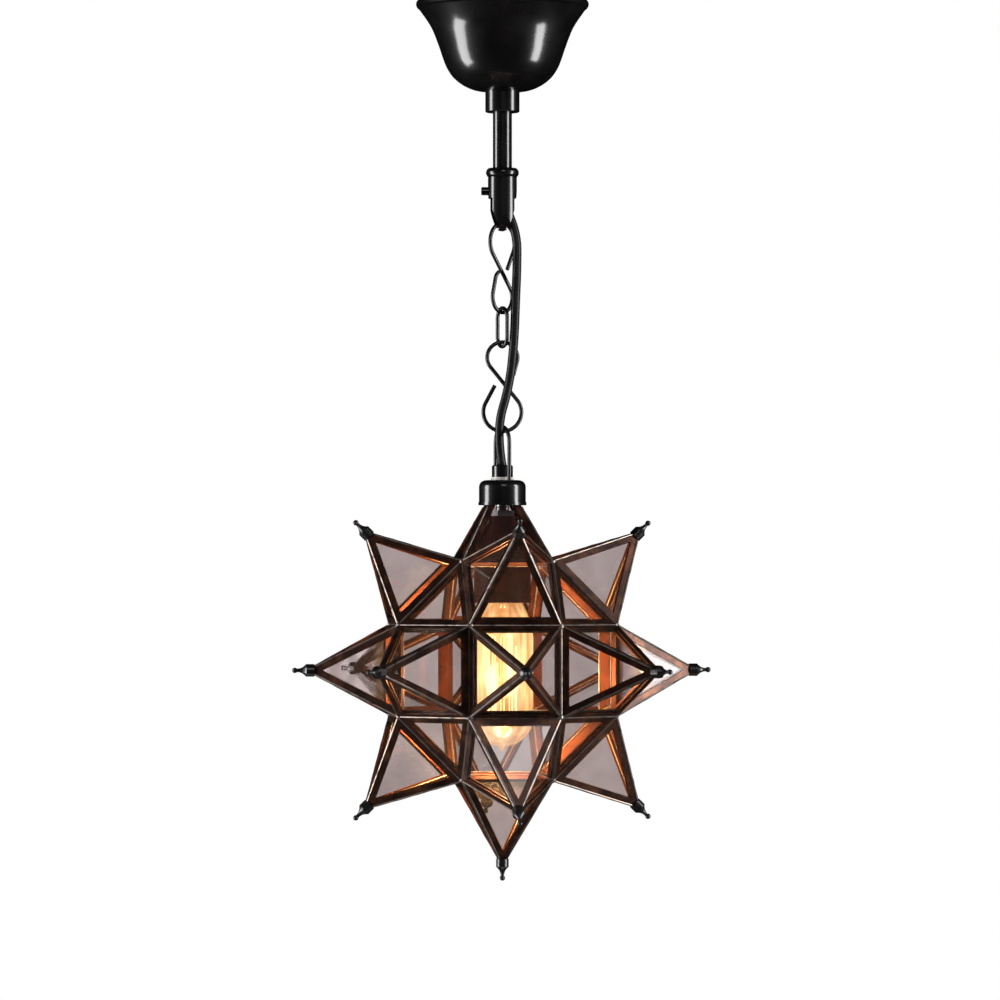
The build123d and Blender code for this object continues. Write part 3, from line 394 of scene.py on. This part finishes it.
# Zinc-plated steel: cool grey with a slight spangle.
zinc, tree, out = new_finish("zinc_plated_steel")
place = add_node(tree, "ShaderNodeTexCoord")
spangle = add_node(tree, "ShaderNodeTexVoronoi", {"Vector": place.outputs["Object"], "Scale": 1 / (4 * MM)})
skin = add_node(tree, "ShaderNodeBsdfPrincipled", {
    "Base Color": ramp(tree, spangle.outputs["Distance"], [(0.0, "#9aa0a4"), (0.8, "#b9bdbf")]),
    "Metallic": 1.0,
    "Roughness": ramp(tree, spangle.outputs["Distance"], [(0.0, 0.28), (0.8, 0.42)])})
tree.links.new(skin.outputs[0], out.inputs["Surface"])

# Extruded PVC sheath: black and smooth, with the soft swell of three laid-up cores below it.
cable_sheath, tree, out = new_finish("cable_sheath")
place = add_node(tree, "ShaderNodeTexCoord")
swell = add_node(tree, "ShaderNodeTexNoise",
                 {"Vector": place.outputs["Object"], "Scale": 1 / (12 * MM), "Detail": 2.0})
bump = add_node(tree, "ShaderNodeBump",
                {"Height": swell.outputs["Fac"], "Strength": 0.3, "Distance": 0.3 * MM})
skin = add_node(tree, "ShaderNodeBsdfPrincipled", {
    "Base Color": ramp(tree, swell.outputs["Fac"], [(0.3, "#0c0c0d"), (0.7, "#161618")]),
    "Roughness": 0.4, "Specular IOR Level": 0.2, "Coat Weight": 0.06, "Coat Roughness": 0.25,
    "Normal": bump.outputs["Normal"]})
tree.links.new(skin.outputs[0], out.inputs["Surface"])

# Moulded nylon, off-white, slightly see-through.
nylon, tree, out = new_finish("natural_nylon")
place = add_node(tree, "ShaderNodeTexCoord")
mottle = add_node(tree, "ShaderNodeTexNoise",
                  {"Vector": place.outputs["Object"], "Scale": 1 / (6 * MM), "Detail": 3.0})
skin = add_node(tree, "ShaderNodeBsdfPrincipled", {
    "Base Color": ramp(tree, mottle.outputs["Fac"], [(0.3, "#cbc6bd"), (0.7, "#dedad2")]), "Roughness": 0.4,
    "Subsurface Weight": 0.1, "Subsurface Scale": 1.0 * MM})
tree.links.new(skin.outputs[0], out.inputs["Surface"])

# Core insulation: brown, green and yellow, and blue, side by side across the wires.
core_colours, tree, out = new_finish("core_insulation")
place = add_node(tree, "ShaderNodeTexCoord")
split = add_node(tree, "ShaderNodeSeparateXYZ", {"Vector": place.outputs["Object"]})
across = add_node(tree, "ShaderNodeMapRange",
                  {"Value": split.outputs["Y"], "From Min": -0.003, "From Max": 0.003})
skin = add_node(tree, "ShaderNodeBsdfPrincipled", {
    "Base Color": ramp(tree, across.outputs[0], [(0.0, "#5a3018"), (0.34, "#7d9a2c"), (0.66, "#1f4f9a")],
                       "CONSTANT"),
    "Roughness": 0.42})
tree.links.new(skin.outputs[0], out.inputs["Surface"])

# ------------------------------------------------------------------ finishes on the CAD nodes
FINISH_OF_SLOT = {"black_enamel": black_enamel, "black_wire": wire_lacquer, "zinc_steel": zinc,
                  "black_cable": cable_sheath, "core_insulation": core_colours, "terminal_nylon": nylon,
                  "white_washer": nylon, "dark_bronze": patina, "clear_glass": pane_glass,
                  "brown_phenolic": phenolic, "brass": brass, "lamp_glass": lamp_glass,
                  "filament_wire": filament_glow}
# The finials are blacked like the wire, and the lamp's stem is clear.
FINISH_OF_NODE = {"bulb_stem": stem_glass, "tip_finials": wire_lacquer, "door_finial": wire_lacquer}
slot_of = {s["node"]: s["material_slot"] for s in frame["record"]["subparts"]}
for name, node_object in frame["nodes"].items():
    finish = FINISH_OF_NODE.get(name) or FINISH_OF_SLOT[slot_of[name]]
    node_object.data.materials.clear()
    node_object.data.materials.append(finish)

# ------------------------------------------------------------------ supply cable
route = bpy.data.curves.new("cable_route", "CURVE")
route.dimensions = "3D"
route.resolution_u = 14
spline = route.splines.new("NURBS")
spline.points.add(len(CABLE) - 1)
for point, place_mm in zip(spline.points, CABLE):
    point.co = (*[c * MM for c in place_mm], 1)
spline.order_u = 3
spline.use_endpoint_u = True
line = bpy.data.meshes.new_from_object(bpy.data.objects.new("cable_route", route))
cable_line = [Vector(v.co) / MM for v in line.vertices]
if cable_line[0].z < cable_line[-1].z:
    cable_line.reverse()


def cable_piece(name, above, below):
    """One stretch of the cable, from height to height."""
    first = min(range(len(cable_line)), key=lambda k: abs(cable_line[k].z - above))
    last = min(range(len(cable_line)), key=lambda k: abs(cable_line[k].z - below))
    bm = bmesh.new()
    # The whole line is swept once, so neighbouring stretches share their end ring.
    tube(bm, cable_line, CABLE_R, sides=CABLE_SIDES, caps=False)
    bm.verts.ensure_lookup_table()
    outside = [v for k, v in enumerate(bm.verts) if not first <= k // CABLE_SIDES <= last]
    bmesh.ops.delete(bm, geom=outside, context="VERTS")
    bmesh.ops.holes_fill(bm, edges=bm.edges, sides=0)
    piece = piece_from(name, bm, None, cable_sheath)
    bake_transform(piece)
    return piece


top_stretch = cable_piece("cable_at_yoke", -143, -210)
cable_piece("cable_at_oval", -210, -251)
cable_piece("cable_at_lower_link", -251, -292)
cable_piece("cable_at_gland", -292, -352)
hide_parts("supply_cable")

# ------------------------------------------------------------------ solder seams and blobs
corners = []
for far in range(3):
    for sx in (-1, 1):
        for sy in (-1, 1):
            for sz in (-1, 1):
                reach = [S, S, S]
                reach[far] = H
                corners.append(Vector((sx * reach[0], sy * reach[1], sz * reach[2])))
valleys = [(a, b) for k, a in enumerate(corners) for b in corners[k + 1:]
           if abs((a - b).length - 2 * S) < 0.1]
directions = [Vector((x, y, z)).normalized() for x in (-1, 0, 1) for y in (-1, 0, 1) for z in (-1, 0, 1)
              if 0 < abs(x) + abs(y) + abs(z) < 3]
DOOR = Vector((0, 1, 0))
PANE_D = TIP * S / hypot(S, TIP - H)     # from the star's centre to the plane of a pane
CHANNEL_DEPTH = 3.6
INNER_EDGE = 1 - CHANNEL_DEPTH / PANE_D
TOP_POINT_CUT = 119.0                    # the top point ends under the cap
SEAM_R, BEAD_R = 0.9, 0.65
BLOB_R, BLOB_LIFT = 2.5, 1.5


def around(direction):
    """The four corners at the base of one point."""
    return [c for c in corners if abs(c.dot(direction) - H) < 0.1]


def run_seam(bm, inner_bm, a, b, sink, outward):
    """A hand-run bead of solder from a to b outside the channels, and a thinner one along their inner edge."""
    steps = 14
    path = [CENTRE + a.lerp(b, k / steps) - outward * sink for k in range(steps + 1)]
    tube(bm, path, SEAM_R, sides=8, wobble=0.35, flat=0.75, up=outward)
    path = [CENTRE + a.lerp(b, k / steps) * INNER_EDGE for k in range(steps + 1)]
    tube(inner_bm, path, BEAD_R, sides=8, wobble=0.3, up=outward)


def seams_of(bm, inner_bm, direction, top=TIP_CUT):
    """The seams along the four ridges of one point, from its base up to a height."""
    for corner in around(direction):
        tip = direction * TIP
        end = corner.lerp(tip, (top - H) / (TIP - H))
        outward = (corner - direction * corner.dot(direction)).normalized() * 0.8 + direction * 0.45
        run_seam(bm, inner_bm, corner, end, 0.4, outward.normalized())


seam_mesh, bead_mesh = bmesh.new(), bmesh.new()
for direction in directions:
    if direction == DOOR:
        continue
    seams_of(seam_mesh, bead_mesh, direction, TOP_POINT_CUT if direction.z > 0.9 else TIP_CUT)
for a, b in valleys:
    on_door = abs(a.y - H) < 0.1 and abs(b.y - H) < 0.1
    if not on_door:
        middle = ((a + b) / 2).normalized()
        run_seam(seam_mesh, bead_mesh, a, b, 0.15, middle)
piece_from("solder_seams", seam_mesh, "star", solder)
piece_from("inner_beads", bead_mesh, "star", lamp_lit_solder)
door_mesh, door_bead_mesh = bmesh.new(), bmesh.new()
seams_of(door_mesh, door_bead_mesh, DOOR)
piece_from("door_solder_seams", door_mesh, "door", solder)
piece_from("door_inner_beads", door_bead_mesh, "door", lamp_lit_solder)

blob_mesh = bmesh.new()
for corner in corners:
    if abs(corner.y - H) < 0.1:
        continue
    out_dir = corner.normalized()
    grown = bmesh.ops.create_icosphere(blob_mesh, subdivisions=3, radius=1.0)["verts"]
    turn = out_dir.to_track_quat("Z", "Y").to_matrix()
    for v in grown:
        lump = 1 + 0.18 * noise.noise(v.co * 1.7 + corner * 0.11)
        v.co = CENTRE + corner + turn @ Vector((v.co.x * BLOB_R * lump, v.co.y * BLOB_R * lump,
                                               v.co.z * BLOB_LIFT * lump - 0.5))
piece_from("solder_blobs", blob_mesh, "star", solder)

# ------------------------------------------------------------------ burning filament cage
CAGE_R, CAGE_TOP, CAGE_END, STRANDS = 10.5, -474.0, -541.0, 10
FILAMENT_R = 0.34
cage_mesh = bmesh.new()
path = []
for strand in range(STRANDS):
    here, there = 2 * pi * (strand + 0.5) / STRANDS, 2 * pi * (strand + 1.5) / STRANDS
    top, low = (CAGE_TOP, CAGE_END) if strand % 2 == 0 else (CAGE_END, CAGE_TOP)
    sag = 1 if strand % 2 == 0 else -1
    path += [Vector((CAGE_R * cos(here), CAGE_R * sin(here), top + (low - top) * k / 8))
             for k in range(1, 8)]
    if strand < STRANDS - 1:
        for k in range(5):
            angle = here + (there - here) * k / 4
            path.append(Vector((CAGE_R * cos(angle), CAGE_R * sin(angle),
                                low + sag * (3.0 - 3.0 * sin(pi * k / 4)))))
tube(cage_mesh, path, FILAMENT_R, sides=8)
cage = piece_from("filament_cage", cage_mesh, "bulb", filament_glow)
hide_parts("filament")

# ------------------------------------------------------------------ lamp glass
glass_mesh = bmesh.new()
profile = [(0, LAMP_LOW), (1.2, -559.2), (1.9, -558.2), (2.2, -557.0), (3.2, -555.9)]
profile += arc_through((3.2, -555.9), (16.4, -549.4), (22.6, -536.0), 18)[1:]
profile += [(22.6, -536.0 + 60 * k / 6) for k in range(1, 7)]
profile += arc_through((22.6, -476.0), (19.6, -462.6), (13.9, -449.6), 14)[1:]
turned(glass_mesh, profile, 96)
lamp = piece_from("lamp_bulb", glass_mesh, "bulb", lamp_glass)
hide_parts("bulb_glass")

# ------------------------------------------------------------------ spun canopy


def eased(points, steps=6):
    """A smooth line through points of a profile."""
    points = [Vector(p) for p in points]
    ends = [points[0] * 2 - points[1], *points, points[-1] * 2 - points[-2]]
    line = []
    for a, b, c, d in zip(ends, ends[1:], ends[2:], ends[3:]):
        for k in range(steps):
            t = k / steps
            line.append(0.5 * (2 * b + (c - a) * t + (2 * a - 5 * b + 4 * c - d) * t * t
                               + (3 * b - 3 * c + d - a) * t ** 3))
    return line + [points[-1]]


# The bell is one sweep of the spinning tool, from the rolled lip down to the flat round the stem.
BELL = [(61.0, -17.2), (57.6, -21.9), (54.4, -26.6), (51.7, -31.2), (49.4, -36.4), (46.1, -45.3),
        (43.3, -53.6), (40.4, -60.6), (36.0, -67.0), (29.6, -72.3), (22.0, -75.9), (14.5, -77.3), (7.4, -77.4)]
bell = eased(BELL)
lip = arc_through((59.6, -10.4), (63.1, -13.9), (61.0, -17.2), 14)[:-1]
inside_bell = [Vector((p.x - 1.2 * min(1, (p.x - 7.4) / 10),
                       p.y + 1.2 * (1 - min(1, (p.x - 7.4) / 34)) + 0.2))
               for p in bell[6:]][::-1]
profile = [(51.8, 0), (52.7, 0), (53.0, -0.4), (53.0, -10.0), (53.4, -10.4), *lip, *bell,
           *inside_bell, (58.6, -11.6), (51.8, -11.6)]
canopy_mesh = bmesh.new()
turned(canopy_mesh, profile, 128, closed=True)
canopy = piece_from("spun_canopy", canopy_mesh, "canopy_set", black_enamel)
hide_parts("canopy")

# ------------------------------------------------------------------ the upper link's closed hook
# The maker bent the lower hook of the upper link further in, until its end rests on the link's own wire.
HOOK_TURN, HOOK_MIDDLE, HOOK_R = radians(44.0), -207.35, 1.46
hook_end = eased([(8.4, 8.38), (8.13, 7.36), (7.45, 5.4), (6.2, 3.6), (4.2, 2.0)])
hook_mesh = bmesh.new()
hook_line = [(-p.x * cos(HOOK_TURN), -p.x * sin(HOOK_TURN), HOOK_MIDDLE - p.y) for p in hook_end]
tube(hook_mesh, hook_line, HOOK_R, sides=16)
piece_from("closed_hook_end", hook_mesh, "upper_link", wire_lacquer)

# ------------------------------------------------------------------ floor, world and lamps
# Pale floor paint. To the lens it is three quarters plain white, so that it runs into the backdrop and
# still holds a shadow. From below it isn't there, as a pendant is looked up at.
floor_finish, tree, out = new_finish("pale_floor")
ray = add_node(tree, "ShaderNodeLightPath")
side = add_node(tree, "ShaderNodeNewGeometry")
matt = add_node(tree, "ShaderNodeBsdfDiffuse", {"Color": linear("#f2f2f0")})
plain = add_node(tree, "ShaderNodeEmission", {"Color": linear("#ffffff"), "Strength": 1.2})
share = add_node(tree, "ShaderNodeMath", {0: ray.outputs["Is Camera Ray"], 1: 0.75}, operation="MULTIPLY")
paint = add_node(tree, "ShaderNodeMixShader",
                 {0: share.outputs[0], 1: matt.outputs[0], 2: plain.outputs[0]})
open_air = add_node(tree, "ShaderNodeBsdfTransparent")
seen = add_node(tree, "ShaderNodeMixShader", {0: side.outputs["Backfacing"], 1: paint.outputs[0],
                                              2: open_air.outputs[0]})
tree.links.new(seen.outputs[0], out.inputs["Surface"])
FLOOR_HALF, FLOOR_Z = 9000, -1700
floor_mesh = bmesh.new()
bmesh.ops.create_grid(floor_mesh, x_segments=1, y_segments=1, size=FLOOR_HALF)
bmesh.ops.translate(floor_mesh, verts=floor_mesh.verts, vec=(0, 0, FLOOR_Z))
floor = piece_from("floor", floor_mesh, None, floor_finish)

# Whatever looks out past the studio's panels sees plain white; matt surfaces get a soft grey sky.
world = bpy.data.worlds.new("studio")
bpy.context.scene.world = world
world.use_nodes = True
tree = world.node_tree
tree.nodes.clear()
ray = add_node(tree, "ShaderNodeLightPath")
seen = add_node(tree, "ShaderNodeMath",
                {0: ray.outputs["Is Camera Ray"], 1: ray.outputs["Is Transmission Ray"]},
                operation="MAXIMUM")
seen = add_node(tree, "ShaderNodeMath", {0: seen.outputs[0], 1: ray.outputs["Is Glossy Ray"]},
                operation="MAXIMUM")
room = add_node(tree, "ShaderNodeBackground", {"Color": linear("#ffffff"), "Strength": 0.34})
white = add_node(tree, "ShaderNodeBackground", {"Color": linear("#ffffff"), "Strength": 1.0})
both = add_node(tree, "ShaderNodeMixShader", {0: seen.outputs[0], 1: room.outputs[0], 2: white.outputs[0]})
add_node(tree, "ShaderNodeOutputWorld", {"Surface": both.outputs[0]})


# A black cloth tent stands round the pendant, as it does for gloss black pieces. The lens looks through it.
cloth, tree, out = new_finish("black_studio_cloth")
nap = add_node(tree, "ShaderNodeBsdfDiffuse", {"Color": linear("#0d0d0e")})
tree.links.new(nap.outputs[0], out.inputs["Surface"])
tent_mesh = bmesh.new()
turned(tent_mesh, [(0, 2600), (2900, 2600), (2900, -1500), (300, -1600)], 24)
tent = piece_from("cloth_tent", tent_mesh, None, cloth)
tent.visible_camera = tent.visible_transmission = tent.visible_shadow = tent.visible_diffuse = False


CHAIN_MIDDLE = Vector((0, 0, -350.0))


def softbox(name, azimuth, height, distance, width, tall, watts):
    """A soft box that faces the pendant, at an azimuth in degrees from the camera's, and sizes in metres."""
    lamp_data = bpy.data.lights.new(name, "AREA")
    lamp_data.shape = "RECTANGLE"
    lamp_data.size, lamp_data.size_y, lamp_data.energy = width, tall, watts
    box = bpy.data.objects.new(name, lamp_data)
    bpy.context.scene.collection.objects.link(box)
    a = AZIMUTH + radians(azimuth)
    box.location = (distance * sin(a), -distance * cos(a), height)
    aim = CHAIN_MIDDLE * MM - box.location
    box.rotation_euler = aim.to_track_quat("-Z", "Y").to_euler()
    box.visible_transmission = False


softbox("left_softbox", -83, -0.65, 2.0, 0.75, 2.1, 59)
softbox("right_softbox", 73, -0.35, 2.0, 0.6, 2.0, 52)
softbox("front_fill", 8, 0.9, 2.6, 1.0, 0.8, 8)

# The lamp's light on the rest. The lens sees the glowing glass and wires instead.
glow_data = bpy.data.lights.new("bulb_light", "POINT")
glow_data.energy, glow_data.shadow_soft_size = 6.0, 0.016
glow_data.color = linear("#ffd39c")[:3]
glow_lamp = bpy.data.objects.new("bulb_light", glow_data)
glow_lamp.location = (0, 0, -0.508)
glow_lamp.visible_camera = glow_lamp.visible_transmission = False
bpy.context.scene.collection.objects.link(glow_lamp)

bpy.context.scene.view_settings.view_transform = "Standard"
